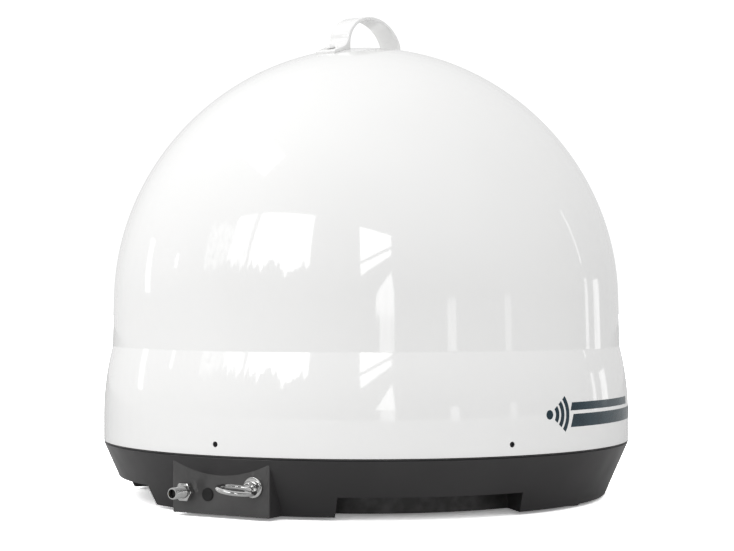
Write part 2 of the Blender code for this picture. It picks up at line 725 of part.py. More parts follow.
def make_skew_stage():
    front = SKEW_GEAR_BACK + SKEW_GEAR_THICKNESS
    wheel = gear_outline(SKEW_MODULE, SKEW_TEETH)
    flat_solid(
        "skew_gear", [wheel, circle(12.3 * MM)], SKEW_GEAR_BACK, front, NATURAL_PLASTIC, parent=ELEVATION
    )
    offset = SKEW_MODULE * (SKEW_TEETH + SKEW_PINION_TEETH) / 2
    spot = (offset, 0, 0)
    pinion = gear_outline(SKEW_MODULE, SKEW_PINION_TEETH, math.pi + math.pi / SKEW_PINION_TEETH)
    flat_solid(
        "skew_pinion", [pinion, circle(1.9 * MM, 12)], SKEW_GEAR_BACK, front, BRASS,
        location=spot, parent=ELEVATION,
    )
    motor = [(0, -34.3), (10, -34.3), (10, -57), (1.5, -57), (1.5, -64.5), (0, -64.5)]
    motor = [(radius * MM, height * MM) for radius, height in motor]
    turned("skew_motor", motor, BLACK_STEEL, steps=20, closed=False, location=spot, parent=ELEVATION)
    housing = [(0, -56.4), (12, -56.4), (12, -64.4), (26, -66), (26, -98), (22, -105), (0, -105)]
    housing = [(radius * MM, height * MM) for radius, height in housing]
    turned("lnb_housing", housing, CAST_METAL, steps=24, closed=False, parent=ELEVATION)
    ring("lnb_connector", 4.75 * MM, 1.0 * MM, -117 * MM, -105.3 * MM, CHROME, steps=16, parent=ELEVATION)


clear_scene()
PARTS = new_collection("dome_antenna")
CUTTERS = new_collection("cutters", hidden=True)

WHITE_PLASTIC = material("gloss_white_plastic", (0.86, 0.87, 0.87), 0.07)
DARK_PLASTIC = material("dark_grey_plastic", (0.048, 0.048, 0.051), 0.45)
BLACK_PLASTIC = material("black_plastic", (0.02, 0.02, 0.02), 0.5)
NATURAL_PLASTIC = material("natural_plastic", (0.72, 0.70, 0.62), 0.4)
RUBBER = material("black_rubber", (0.012, 0.012, 0.012), 0.7)
CHROME = material("chrome", (0.78, 0.78, 0.79), 0.12, 1.0)
STEEL = material("zinc_steel", (0.55, 0.56, 0.58), 0.35, 1.0)
BLACK_STEEL = material("blackened_steel", (0.03, 0.03, 0.032), 0.4, 0.6)
BRASS = material("brass", (0.72, 0.53, 0.25), 0.3, 1.0)
CAST_METAL = material("cast_aluminium", (0.52, 0.53, 0.54), 0.5, 1.0)
DISH_METAL = material("dish_aluminium", (0.70, 0.71, 0.72), 0.3, 1.0)
BOARD_GREEN = material("board_green", (0.02, 0.13, 0.06), 0.4)

PANEL = empty("panel_frame", rotation=(0, 0, PANEL_ANGLE))
ELEVATION = empty(
    "elevation_frame", location=(0, 0, AXLE_HEIGHT), rotation=(math.pi / 2 - REST_ELEVATION, 0, 0)
)
bpy.context.view_layer.update()

holes = dome_screw_cutters()
make_dome_cover(holes)
make_base_pan(holes)
make_dome_seal()
make_dome_screws()
make_feet()
make_carry_handle()
make_handle_fixings()
make_coax_connector()
make_blanking_plug()
make_security_eye()
make_control_board()
make_coax_jumper()
make_azimuth_stage()
make_elevation_stage()
make_dish()
make_dish_frame()
make_feed()
make_skew_stage()
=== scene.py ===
import json
import math

import bmesh
import bpy
from mathutils import Matrix, Vector, interpolate, noise
from mathutils.bvhtree import BVHTree


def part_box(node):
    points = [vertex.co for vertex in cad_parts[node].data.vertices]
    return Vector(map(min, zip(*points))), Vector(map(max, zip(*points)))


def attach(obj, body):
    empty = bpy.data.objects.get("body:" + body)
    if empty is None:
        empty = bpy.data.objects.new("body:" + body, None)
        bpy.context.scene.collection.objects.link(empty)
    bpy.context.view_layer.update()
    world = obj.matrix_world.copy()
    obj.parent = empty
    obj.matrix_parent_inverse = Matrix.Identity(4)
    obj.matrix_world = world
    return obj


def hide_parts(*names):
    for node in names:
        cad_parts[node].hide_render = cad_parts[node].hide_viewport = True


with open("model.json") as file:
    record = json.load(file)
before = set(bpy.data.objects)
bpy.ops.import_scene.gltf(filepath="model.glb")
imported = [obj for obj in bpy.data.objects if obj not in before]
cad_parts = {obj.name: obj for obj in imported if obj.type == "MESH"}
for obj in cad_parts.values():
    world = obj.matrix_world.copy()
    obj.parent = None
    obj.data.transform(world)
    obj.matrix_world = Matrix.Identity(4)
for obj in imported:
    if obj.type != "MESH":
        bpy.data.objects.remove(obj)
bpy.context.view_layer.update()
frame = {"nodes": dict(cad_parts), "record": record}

mm = 0.001
record = frame["record"]
nodes = frame["nodes"]
mounts = {m["name"]: m for m in record["mounts"]}

# Where things are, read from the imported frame
domeLow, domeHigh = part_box("dome_cover")
baseLow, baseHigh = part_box("base_pan")
rimHeight = domeLow.z
skirtRadius = domeHigh.x
apexHeight = domeHigh.z
underside = baseLow.z
panelOut = Vector(mounts["coax_face"]["axis"]).normalized()
panelSide = Vector((-panelOut.y, panelOut.x, 0))
panelTurn = math.atan2(panelOut.x, -panelOut.y)
panelFrame = Matrix.Rotation(panelTurn, 4, "Z")
coaxSpot = Vector(mounts["coax_face"]["pos_m"])
eyeSpot = Vector(mounts["security_eye"]["pos_m"])
print("frame loaded:", len(nodes), "CAD nodes")


def middle(node):
    low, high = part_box(node)
    return (low + high) / 2


# Camera: level, a little left of the front, long lens
cameraView = {
    "azimuth": -14.4,
    "distance": 1.6116,
    "height": 0.1728,
    "lens": 87.3,
    "shiftX": 0.0012,
    "shiftY": 0.0351,
}


def makeCamera(view):
    data = bpy.data.cameras.new("studioCamera")
    camera = bpy.data.objects.new("studioCamera", data)
    bpy.context.scene.collection.objects.link(camera)
    turn = math.radians(view["azimuth"])
    away = view["distance"]
    camera.location = (away * math.sin(turn), -away * math.cos(turn), view["height"])
    camera.rotation_euler = (math.pi / 2, 0, turn)
    data.lens = view["lens"]
    data.sensor_width = 36.0
    data.shift_x = view["shiftX"]
    data.shift_y = view["shiftY"]
    data.clip_start = 0.05
    bpy.context.scene.camera = camera


# White studio. Light grows towards "toward"; glossy surfaces see a dimmer room, as chrome needs
studio = {
    "backdrop": 1.1,
    "soft": {"middle": 1.48, "toward": (-0.58, 0.14, 0.27)},
    "gloss": {"middle": 0.50, "toward": (0.02, 0.45, 0.24)},
    "floorBounce": 0.62,
    "floorMirrored": 0.45,
    "floorSeen": 2.3,
    "floorGlow": 0.22,
}


def treeLine(start, end, height, ragged, count):
    # The top of a hedge, seen against a bright window
    points = []
    for i in range(count + 1):
        along = start + (end - start) * i / count
        bump = noise.noise(Vector((along * 2.3, height, 0))) * 1.4
        bump += noise.noise(Vector((along * 11, height, 3)))
        points.append((along, height + ragged * bump))
    return points


# Window cards: flat outlines in metres on a plane that faces the dome from that bearing.
# They show only in reflections. Fuzz is how much foliage breaks up the light.
cards = [
    {"name": "mainPane", "bearing": 210.6, "away": 3.2, "bright": 3.0, "fuzz": 0.2,
     "outline": [(-0.42, 2.40), (1.16, 2.66), (1.22, 1.10)] + treeLine(1.20, -0.40, 0.96, 0.22, 70)},
    {"name": "sidePane", "bearing": 210.6, "away": 3.2, "bright": 2.2, "fuzz": 0.75,
     "outline": [(-1.10, 2.26), (-0.56, 2.38), (-0.48, 1.10)] + treeLine(-0.50, -1.05, 1.02, 0.25, 30)},
    {"name": "hedge", "bearing": 210.6, "away": 3.2, "bright": 1.3, "fuzz": 1.3,
     "outline": treeLine(-2.05, -1.12, 2.0, 0.3, 40) + [(-1.07, 0.95)]
     + treeLine(-1.10, -1.85, 0.95, 0.3, 30)},
    {"name": "tallUpper", "bearing": 259.6, "away": 4.2, "bright": 3.2, "fuzz": 0.1,
     "outline": [(-0.52, 2.84), (0.55, 2.44), (0.53, 2.02), (-0.48, 1.46)]},
    {"name": "tallStrip", "bearing": 259.6, "away": 4.2, "bright": 3.0, "fuzz": 0.1,
     "outline": [(-0.49, 1.36), (0.53, 1.90), (0.51, 1.68), (-0.45, 0.99)]},
    {"name": "tallFoot", "bearing": 259.6, "away": 4.2, "bright": 2.6, "fuzz": 0.2,
     "outline": [(0.49, 1.12), (0.57, 0.36), (-0.02, 0.36)]},
    {"name": "tallSill", "bearing": 259.6, "away": 4.2, "bright": 1.5, "fuzz": 0.5,
     "outline": [(0.12, 0.36), (0.57, 0.36), (0.56, 0.05), (0.12, 0.05)]},
    {"name": "skylight", "bearing": 173.6, "lift": 53.0, "away": 3.2, "bright": 2.3, "fuzz": 0.15,
     "outline": [(-0.29, 0.41), (0.58, 0.45), (0.66, -0.08), (-0.36, -0.06)]},
    {"name": "farStreak", "bearing": 13.6, "away": 3.2, "bright": 1.5, "fuzz": 0.2,
     "outline": [(-0.54, 1.62), (-0.47, 1.62), (-0.40, 0.72), (-0.47, 0.72)]},
    {"name": "farDoor", "bearing": 13.6, "away": 3.2, "bright": 1.5, "fuzz": 0.4,
     "outline": [(-0.42, 0.50), (-0.30, 0.50), (-0.26, 0.02), (-0.42, 0.02)]},
    {"name": "farWall", "bearing": 13.6, "away": 3.2, "bright": 1.45, "fuzz": 0.3,
     "outline": [(0.02, 0.44), (0.34, 0.44), (0.36, 0.02), (0.02, 0.02)]},
    {"name": "lowStripA", "bearing": 292.0, "away": 3.6, "bright": 1.3, "fuzz": 0.2,
     "outline": [(-0.14, 0.36), (0.10, 0.36), (0.10, 0.02), (-0.14, 0.02)]},
    {"name": "lowStripB", "bearing": 318.0, "away": 3.6, "bright": 1.0, "fuzz": 0.2,
     "outline": [(-0.10, 0.36), (0.10, 0.36), (0.10, 0.02), (-0.10, 0.02)]},
    {"name": "nearStreak", "bearing": 141.6, "away": 3.2, "bright": 1.9, "fuzz": 0.3,
     "outline": [(-0.10, 1.05), (0.12, 1.05), (0.34, 0.30), (0.10, 0.30)]},
    {"name": "nearLamp", "bearing": 155.6, "away": 3.2, "bright": 2.2, "fuzz": 0.1,
     "outline": [(0.40, 1.02), (0.50, 1.02), (0.52, 0.76), (0.42, 0.76)]},
]


def glowMaterial(spec):
    mat = bpy.data.materials.new(spec["name"])
    mat.use_nodes = True
    tree = mat.node_tree
    tree.nodes.clear()
    out = tree.nodes.new("ShaderNodeOutputMaterial")
    glow = tree.nodes.new("ShaderNodeEmission")
    where = tree.nodes.new("ShaderNodeTexCoord")
    leaves = tree.nodes.new("ShaderNodeTexNoise")
    leaves.inputs["Scale"].default_value = 8.0
    leaves.inputs["Detail"].default_value = 5.0
    level = tree.nodes.new("ShaderNodeMapRange")
    level.inputs["From Min"].default_value = 0.36
    level.inputs["From Max"].default_value = 0.52
    level.inputs["To Min"].default_value = spec["bright"] * max(0.15, 1 - 0.6 * spec["fuzz"])
    level.inputs["To Max"].default_value = spec["bright"]
    tree.links.new(where.outputs["Object"], leaves.inputs["Vector"])
    tree.links.new(leaves.outputs["Fac"], level.inputs["Value"])
    tree.links.new(level.outputs["Result"], glow.inputs["Strength"])
    tree.links.new(glow.outputs[0], out.inputs["Surface"])
    return mat


def makeCard(spec):
    mesh = bpy.data.meshes.new(spec["name"])
    shape = bmesh.new()
    shape.faces.new([shape.verts.new((side, up, 0)) for side, up in spec["outline"]])
    shape.to_mesh(mesh)
    shape.free()
    mesh.materials.append(glowMaterial(spec))
    card = bpy.data.objects.new(spec["name"], mesh)
    bpy.context.scene.collection.objects.link(card)
    bearing, lift = math.radians(spec["bearing"]), math.radians(spec.get("lift", 0.0))
    out = Vector((
        math.cos(bearing) * math.cos(lift),
        math.sin(bearing) * math.cos(lift),
        math.sin(lift),
    ))
    side = Vector((-math.sin(bearing), math.cos(bearing), 0))
    up = out.cross(side)
    turn = Matrix((side, up, out)).transposed().to_4x4()
    card.matrix_world = Matrix.Translation(out * spec["away"]) @ turn
    card.visible_camera = False
    card.visible_diffuse = False
    card.visible_shadow = False
    card.visible_transmission = False


def skyLevel(tree, spec):
    # Light level that changes evenly with direction
    where = tree.nodes.new("ShaderNodeTexCoord")
    lean = tree.nodes.new("ShaderNodeVectorMath")
    lean.operation = "DOT_PRODUCT"
    lean.inputs[1].default_value = spec["toward"]
    level = tree.nodes.new("ShaderNodeMath")
    level.operation = "ADD"
    level.inputs[1].default_value = spec["middle"]
    sky = tree.nodes.new("ShaderNodeBackground")
    tree.links.new(where.outputs["Generated"], lean.inputs[0])
    tree.links.new(lean.outputs["Value"], level.inputs[0])
    tree.links.new(level.outputs[0], sky.inputs["Strength"])
    return sky


def makeWorld(spec):
    world = bpy.data.worlds.new("whiteStudio")
    bpy.context.scene.world = world
    world.use_nodes = True
    tree = world.node_tree
    tree.nodes.clear()
    out = tree.nodes.new("ShaderNodeOutputWorld")
    path = tree.nodes.new("ShaderNodeLightPath")
    seen = tree.nodes.new("ShaderNodeBackground")
    seen.inputs["Color"].default_value = (1, 1, 1, 1)
    seen.inputs["Strength"].default_value = spec["backdrop"]
    soft = skyLevel(tree, spec["soft"])
    gloss = skyLevel(tree, spec["gloss"])
    inGloss = tree.nodes.new("ShaderNodeMixShader")
    inView = tree.nodes.new("ShaderNodeMixShader")
    link = tree.links.new
    link(path.outputs["Is Glossy Ray"], inGloss.inputs["Fac"])
    link(soft.outputs[0], inGloss.inputs[1])
    link(gloss.outputs[0], inGloss.inputs[2])
    link(path.outputs["Is Camera Ray"], inView.inputs["Fac"])
    link(inGloss.outputs[0], inView.inputs[1])
    link(seen.outputs[0], inView.inputs[2])
    link(inView.outputs[0], out.inputs["Surface"])


def makeFloor(spec):
    # Pale floor: overexposed where it is seen, so that only close contact shadows are left
    mesh = bpy.data.meshes.new("studioFloor")
    shape = bmesh.new()
    bmesh.ops.create_grid(shape, x_segments=1, y_segments=1, size=20.0)
    shape.to_mesh(mesh)
    shape.free()
    floor = bpy.data.objects.new("studioFloor", mesh)
    bpy.context.scene.collection.objects.link(floor)
    paint = bpy.data.materials.new("paleFloor")
    paint.use_nodes = True
    tree = paint.node_tree
    tree.nodes.clear()
    out = tree.nodes.new("ShaderNodeOutputMaterial")
    path = tree.nodes.new("ShaderNodeLightPath")
    bounce = tree.nodes.new("ShaderNodeBsdfDiffuse")
    bounce.inputs["Color"].default_value = (*[spec["floorBounce"]] * 3, 1)
    mirrored = tree.nodes.new("ShaderNodeBsdfDiffuse")
    mirrored.inputs["Color"].default_value = (*[spec["floorMirrored"]] * 3, 1)
    unseen = tree.nodes.new("ShaderNodeMixShader")
    seen = tree.nodes.new("ShaderNodeBsdfDiffuse")
    seen.inputs["Color"].default_value = (*[spec["floorSeen"]] * 3, 1)
    glow = tree.nodes.new("ShaderNodeEmission")
    glow.inputs["Strength"].default_value = spec["floorGlow"]
    both = tree.nodes.new("ShaderNodeAddShader")
    pick = tree.nodes.new("ShaderNodeMixShader")
    link = tree.links.new
    link(seen.outputs[0], both.inputs[0])
    link(glow.outputs[0], both.inputs[1])
    link(path.outputs["Is Camera Ray"], pick.inputs["Fac"])
    link(path.outputs["Is Glossy Ray"], unseen.inputs["Fac"])
    link(bounce.outputs[0], unseen.inputs[1])
    link(mirrored.outputs[0], unseen.inputs[2])
    link(unseen.outputs[0], pick.inputs[1])
    link(both.outputs[0], pick.inputs[2])
    link(pick.outputs[0], out.inputs["Surface"])
    mesh.materials.append(paint)


bpy.context.scene.view_settings.view_transform = "Standard"
makeCamera(cameraView)
makeWorld(studio)
makeFloor(studio)
for card in cards:
    makeCard(card)
print("studio ready")


# Finishes. Each is a Principled surface with its own grain: colour drifts between two tones,
# roughness wanders round its value, and the bump is the fine texture of the real surface.
finishes = {
    "glossWhite": {"tones": ((0.80, 0.80, 0.795), (0.84, 0.84, 0.835)), "drift": 3.0, "rough": (0.05, 0.09),
                   "roughScale": 14.0, "bumpScale": 260.0, "bump": 0.012, "coat": 1.0, "coatRough": 0.03},
    "darkPlastic": {"tones": ((0.034, 0.0330, 0.0338), (0.042, 0.0408, 0.0416)), "drift": 9.0,
                    "rough": (0.29, 0.37), "roughScale": 40.0, "bumpScale": 1500.0, "bump": 0.06,
                    "specular": 0.28},
    # Recess walls: the blotchy drift is the moulding's grain, and the tones lighter than darkPlastic are
    # painted light falling into the recess
    "recessPlasticPaintedLight": {"tones": ((0.040, 0.039, 0.039), (0.075, 0.073, 0.073)), "drift": 120.0,
                      "rough": (0.29, 0.43), "roughScale": 90.0, "bumpScale": 700.0, "bump": 0.3,
                      "specular": 0.5},
    # Panel face: smoother than the cone, with tones lighter than darkPlastic that are painted light on the
    # face
    "panelPlasticPaintedLight": {"tones": ((0.058, 0.057, 0.057), (0.074, 0.073, 0.073)), "drift": 30.0,
                     "rough": (0.12, 0.18), "roughScale": 60.0, "bumpScale": 1500.0, "bump": 0.03,
                     "specular": 0.5},
    "blackPlastic": {"tones": ((0.012, 0.012, 0.012), (0.022, 0.022, 0.023)), "drift": 20.0,
                     "rough": (0.42, 0.55), "roughScale": 60.0, "bumpScale": 1800.0, "bump": 0.12,
                     "specular": 0.3},
    "blackRubber": {"tones": ((0.010, 0.010, 0.010), (0.020, 0.020, 0.020)), "drift": 60.0,
                    "rough": (0.62, 0.80), "roughScale": 90.0, "bumpScale": 2200.0, "bump": 0.2,
                    "specular": 0.3},
    "sealRubber": {"tones": ((0.036, 0.035, 0.036), (0.048, 0.047, 0.048)), "drift": 60.0,
                   "rough": (0.5, 0.65), "roughScale": 90.0, "bumpScale": 2000.0, "bump": 0.1,
                   "specular": 0.4},
    # Handle screws: zinc steel given a near-white, mostly diffuse tone, a painted reflection of the bright
    # room
    "screwPaintedReflection": {"tones": ((0.86, 0.86, 0.86), (0.93, 0.93, 0.92)), "drift": 90.0,
                      "rough": (0.14, 0.26), "roughScale": 240.0, "bumpScale": 1400.0, "bump": 0.02,
                      "metal": 0.25},
    "brightNickel": {"tones": ((0.66, 0.66, 0.66), (0.78, 0.78, 0.77)), "drift": 120.0,
                     "rough": (0.02, 0.06), "roughScale": 300.0, "bumpScale": 1600.0, "bump": 0.012,
                     "metal": 1.0},
    "zincSteel": {"tones": ((0.52, 0.54, 0.56), (0.66, 0.67, 0.66)), "drift": 90.0, "rough": (0.24, 0.42),
                  "roughScale": 200.0, "bumpScale": 1400.0, "bump": 0.05, "metal": 1.0},
    "blackSteel": {"tones": ((0.016, 0.016, 0.018), (0.035, 0.035, 0.038)), "drift": 50.0,
                   "rough": (0.30, 0.48), "roughScale": 120.0, "bumpScale": 1500.0, "bump": 0.06,
                   "metal": 0.6},
    "brass": {"tones": ((0.66, 0.46, 0.19), (0.78, 0.58, 0.28)), "drift": 70.0, "rough": (0.2, 0.36),
              "roughScale": 160.0, "bumpScale": 1400.0, "bump": 0.04, "metal": 1.0},
    "castAluminium": {"tones": ((0.46, 0.47, 0.48), (0.60, 0.61, 0.62)), "drift": 45.0,
                      "rough": (0.45, 0.62), "roughScale": 150.0, "bumpScale": 900.0, "bump": 0.25,
                      "metal": 1.0},
    "dishAluminium": {"tones": ((0.68, 0.69, 0.70), (0.78, 0.79, 0.80)), "drift": 16.0,
                      "rough": (0.26, 0.38), "roughScale": 80.0, "bumpScale": 1200.0, "bump": 0.05,
                      "metal": 1.0},
    "whiteNylon": {"tones": ((0.70, 0.68, 0.60), (0.80, 0.78, 0.71)), "drift": 25.0, "rough": (0.36, 0.5),
                   "roughScale": 70.0, "bumpScale": 1300.0, "bump": 0.06},
    "greenBoard": {"tones": ((0.008, 0.085, 0.035), (0.018, 0.15, 0.065)), "drift": 130.0,
                   "rough": (0.22, 0.4), "roughScale": 110.0, "bumpScale": 1100.0, "bump": 0.15},
    "tealPrint": {"tones": ((0.004, 0.022, 0.034), (0.008, 0.032, 0.046)), "drift": 40.0,
                  "rough": (0.2, 0.3), "roughScale": 120.0, "bumpScale": 1600.0, "bump": 0.03},
}
slotFinish = {
    "gloss_white": "glossWhite",
    "dark_grey": "darkPlastic",
    "black_plastic": "blackPlastic",
    "natural_nylon": "whiteNylon",
    "black_rubber": "blackRubber",
    "bright_nickel": "brightNickel",
    "zinc_steel": "zincSteel",
    "black_steel": "blackSteel",
    "brass": "brass",
    "cast_aluminium": "castAluminium",
    "dish_aluminium": "dishAluminium",
    "board_green": "greenBoard",
}


def noiseNode(tree, coords, scale, detail=3.0):
    grain = tree.nodes.new("ShaderNodeTexNoise")
    grain.inputs["Scale"].default_value = scale
    grain.inputs["Detail"].default_value = detail
    tree.links.new(coords.outputs["Object"], grain.inputs["Vector"])
    return grain


def makeFinish(name, spec):
    mat = bpy.data.materials.new(name)
    mat.use_nodes = True
    tree = mat.node_tree
    shader = tree.nodes["Principled BSDF"]
    shader.inputs["Metallic"].default_value = spec.get("metal", 0.0)
    shader.inputs["Specular IOR Level"].default_value = spec.get("specular", 0.5)
    shader.inputs["Coat Weight"].default_value = spec.get("coat", 0.0)
    shader.inputs["Coat Roughness"].default_value = spec.get("coatRough", 0.03)
    coords = tree.nodes.new("ShaderNodeTexCoord")

    drift = noiseNode(tree, coords, spec["drift"])
    ramp = tree.nodes.new("ShaderNodeValToRGB")
    ramp.color_ramp.elements[0].position = 0.35
    ramp.color_ramp.elements[1].position = 0.65
    for stop, tone in zip(ramp.color_ramp.elements, spec["tones"]):
        stop.color = (*tone, 1)
    tree.links.new(drift.outputs["Fac"], ramp.inputs["Fac"])
    tree.links.new(ramp.outputs["Color"], shader.inputs["Base Color"])

    wander = noiseNode(tree, coords, spec["roughScale"])
    spread = tree.nodes.new("ShaderNodeMapRange")
    spread.inputs["From Min"].default_value = 0.3
    spread.inputs["From Max"].default_value = 0.7
    spread.inputs["To Min"].default_value = spec["rough"][0]
    spread.inputs["To Max"].default_value = spec["rough"][1]
    tree.links.new(wander.outputs["Fac"], spread.inputs["Value"])
    tree.links.new(spread.outputs["Result"], shader.inputs["Roughness"])

    grain = noiseNode(tree, coords, spec["bumpScale"], detail=2.0)
    bump = tree.nodes.new("ShaderNodeBump")
    bump.inputs["Strength"].default_value = spec["bump"]
    bump.inputs["Distance"].default_value = 0.0002
    tree.links.new(grain.outputs["Fac"], bump.inputs["Height"])
    tree.links.new(bump.outputs["Normal"], shader.inputs["Normal"])
    return mat


looks = {name: makeFinish(name, spec) for name, spec in finishes.items()}
print("finishes ready:", len(looks))

# Every CAD node starts with the finish of its slot; the pieces below replace the outer ones
slotOf = {row["node"]: row["material_slot"] for row in record["subparts"]}
for nodeName, node in nodes.items():
    node.data.materials.clear()
    node.data.materials.append(looks[slotFinish[slotOf[nodeName]]])


def showPiece(name, mesh, slotName, standsFor=(), matrix=None, finish=None):
    piece = bpy.data.objects.new(name, mesh)
    bpy.context.scene.collection.objects.link(piece)
    if matrix is not None:
        piece.matrix_world = matrix
    mesh.materials.clear()
    mesh.materials.append(looks[finish or slotFinish[slotName]])
    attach(piece, "root")
    if standsFor:
        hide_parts(*standsFor)
    return piece


def helperObject(name, mesh, matrix=None):
    # A cutter or a source shape: it never shows
    helper = bpy.data.objects.new(name, mesh)
    bpy.context.scene.collection.objects.link(helper)
    if matrix is not None:
        helper.matrix_world = matrix
    return helper


def spunMesh(name, profile, steps, loop=True, sharpAngle=35.0):
    # A turned shape: (radius, height) points spun about Z, running down the outer side
    mesh = bpy.data.meshes.new(name)
    shape = bmesh.new()
    turn = 2 * math.pi / steps
    rings = []
    for radius, height in profile:
        if radius < 1e-7:
            rings.append([shape.verts.new((0, 0, height))])
            continue
        rings.append([
            shape.verts.new((radius * math.cos(i * turn), radius * math.sin(i * turn), height))
            for i in range(steps)
        ])
    pairs = list(zip(rings, rings[1:]))
    if loop:
        pairs.append((rings[-1], rings[0]))
    for upper, lower in pairs:
        for i in range(steps):
            j = (i + 1) % steps
            corners = []
            for corner in (upper[i % len(upper)], lower[i % len(lower)], lower[j % len(lower)],
                           upper[j % len(upper)]):
                if corner not in corners:
                    corners.append(corner)
            if len(corners) > 2:
                shape.faces.new(corners)
    finishMesh(shape, mesh, sharpAngle)
    return mesh


def finishMesh(shape, mesh, sharpAngle=35.0):
    bmesh.ops.recalc_face_normals(shape, faces=shape.faces)
    shape.to_mesh(mesh)
    shape.free()
    mesh.shade_smooth()
    mesh.set_sharp_from_angle(angle=math.radians(sharpAngle))


def arcPoints(centre, radius, start, end, count):
    # Points on a circle in the profile plane, angles in degrees
    points = []
    for i in range(count + 1):
        angle = math.radians(start + (end - start) * i / count)
        points.append((centre[0] + radius * math.cos(angle), centre[1] + radius * math.sin(angle)))
    return points


def prismMesh(name, outline, low, high, bevel=0.0, segments=3, sharpAngle=35.0):
    # A flat outline raised along Z, with its edges rounded
    mesh = bpy.data.meshes.new(name)
    shape = bmesh.new()
    bottom = [shape.verts.new((x, y, low)) for x, y in outline]
    face = shape.faces.new(bottom)
    raised = bmesh.ops.extrude_face_region(shape, geom=[face])
    top = [item for item in raised["geom"] if isinstance(item, bmesh.types.BMVert)]
    bmesh.ops.translate(shape, vec=(0, 0, high - low), verts=top)
    bmesh.ops.recalc_face_normals(shape, faces=shape.faces)
    if bevel:
        sharp = [e for e in shape.edges if e.calc_face_angle(0) > math.radians(50)]
        bmesh.ops.bevel(
            shape, geom=sharp, offset=bevel, segments=segments, profile=0.5, affect="EDGES",
            clamp_overlap=True,
        )
    finishMesh(shape, mesh, sharpAngle)
    return mesh


def applyModifiers(piece):
    # Bakes a piece's modifiers into its mesh, so that the helpers can go
    bpy.context.view_layer.update()
    graph = bpy.context.evaluated_depsgraph_get()
    baked = bpy.data.meshes.new_from_object(piece.evaluated_get(graph))
    piece.modifiers.clear()
    piece.data = baked


def boolean(piece, other, operation="DIFFERENCE"):
    modifier = piece.modifiers.new(operation, "BOOLEAN")
    modifier.operation = operation
    modifier.object = other
    modifier.solver = "EXACT"


def keepShading(piece, uncut):
    # Cuts leave thin faces; corners still on the uncut surface take that surface's smooth normals
    mesh = piece.data
    spots = [vertex.co for vertex in uncut.vertices]
    tree = BVHTree.FromPolygons(spots, [list(polygon.vertices) for polygon in uncut.polygons])
    smooth = [corner.vector for corner in uncut.corner_normals]
    normals = [corner.vector.copy() for corner in mesh.corner_normals]
    for polygon in mesh.polygons:
        _, direction, number, gap = tree.find_nearest(polygon.center)
        sliver = polygon.area < 0.05 * mm * mm
        if gap > 0.05 * mm or (direction.dot(polygon.normal) < 0.995 and not sliver):
            continue
        source = uncut.polygons[number]
        corners = [spots[i] for i in source.vertices]
        for i in polygon.loop_indices:
            at = mesh.vertices[mesh.loops[i].vertex_index].co
            shares = interpolate.poly_3d_calc(corners, at)
            mixed = sum((smooth[k] * share for k, share in zip(source.loop_indices, shares)), Vector())
            if mixed.length > 0.5:
                normals[i] = mixed.normalized()
    mesh.normals_split_custom_set(normals)


def dropHelpers(helpers):
    for helper in helpers:
        bpy.data.objects.remove(helper, do_unlink=True)


# The dome's curve, worked out from its box: heights and radii in millimetres
dome = {
    "bandTop": 180.0,
    "bandRadius": 226.0,
    "bulge": 226.1,
    "spring": 174.0,
    "power": 1.963,
    "crease": 133.0,
    "creaseRadius": 227.35,
    "creaseSoftness": 1.2,
    "skirtTop": 73.0,
    "wall": 3.0,
    "steps": 240,
    "rows": 84,
}


def domeRadiusAt(height):
    # Outer radius of the dome at a height, both in metres
    z, d = height / mm, dome
    top = apexHeight / mm
    if z >= d["bandTop"]:
        rise = max(0.0, 1 - ((z - d["spring"]) / (top - d["spring"])) ** d["power"])
        return d["bulge"] * rise ** (1 / d["power"]) * mm
    if z >= d["crease"]:
        share = (d["bandTop"] - z) / (d["bandTop"] - d["crease"])
        return (d["bandRadius"] + share * (d["creaseRadius"] - d["bandRadius"])) * mm
    if z >= d["skirtTop"]:
        share = (z - d["skirtTop"]) / (d["crease"] - d["skirtTop"])
        full = skirtRadius / mm - 0.1
        return (full - (full - d["creaseRadius"]) * share**2) * mm
    return skirtRadius - 0.1 * mm


def domeHeightAt(radius):
    share = (radius / mm / dome["bulge"]) ** dome["power"]
    top = apexHeight / mm
    return (dome["spring"] + (top - dome["spring"]) * (1 - share) ** (1 / dome["power"])) * mm


def domeProfile():
    d = dome
    top = apexHeight / mm
    power = 2 / d["power"]
    bandAngle = math.asin(((d["bandTop"] - d["spring"]) / (top - d["spring"])) ** (1 / power))
    points = [(0, apexHeight)]
    for i in range(1, d["rows"] + 1):
        angle = math.pi / 2 - (i / d["rows"]) * (math.pi / 2 - bandAngle)
        points.append((
            d["bulge"] * math.cos(angle) ** power * mm,
            (d["spring"] + (top - d["spring"]) * math.sin(angle) ** power) * mm,
        ))
    heights = [d["bandTop"] - i * 5.0 for i in range(1, 10)]
    heights += [d["crease"] + 0.8, d["crease"] + 0.3]
    heights += [d["crease"] - 0.3, d["crease"] - 0.8]
    heights += [d["crease"] - 3.0 * i for i in range(1, 20)]
    heights += [d["skirtTop"], 68.0, 63.0, 59.5, 56.0]
    points += [(domeRadiusAt(z * mm), z * mm) for z in heights]
    edge = 0.45 * mm
    outer = domeRadiusAt(rimHeight)
    points += arcPoints((outer - edge, rimHeight + edge), edge, 0, -90, 4)
    inner = outer - d["wall"] * mm
    points += arcPoints((inner + edge, rimHeight + edge), edge, -90, -180, 4)
    for z in (73.0, 100.0, 133.0, 160.0, 180.0):
        points.append((domeRadiusAt(z * mm) - d["wall"] * mm, z * mm))
    rows = 18
    for i in range(rows - 1, 0, -1):
        angle = math.pi / 2 - (i / rows) * (math.pi / 2 - bandAngle)
        points.append((
            (d["bulge"] - d["wall"]) * math.cos(angle) ** power * mm,
            (d["spring"] + (top - d["wall"] - d["spring"]) * math.sin(angle) ** power) * mm,
        ))
    points.append((0, apexHeight - d["wall"] * mm))
    return points


# Screws round the skirt: dark heads set a little below the surface
domeScrew = {"count": 6, "hole": 2.35, "depth": 1.7, "head": 2.1, "socket": 0.95}


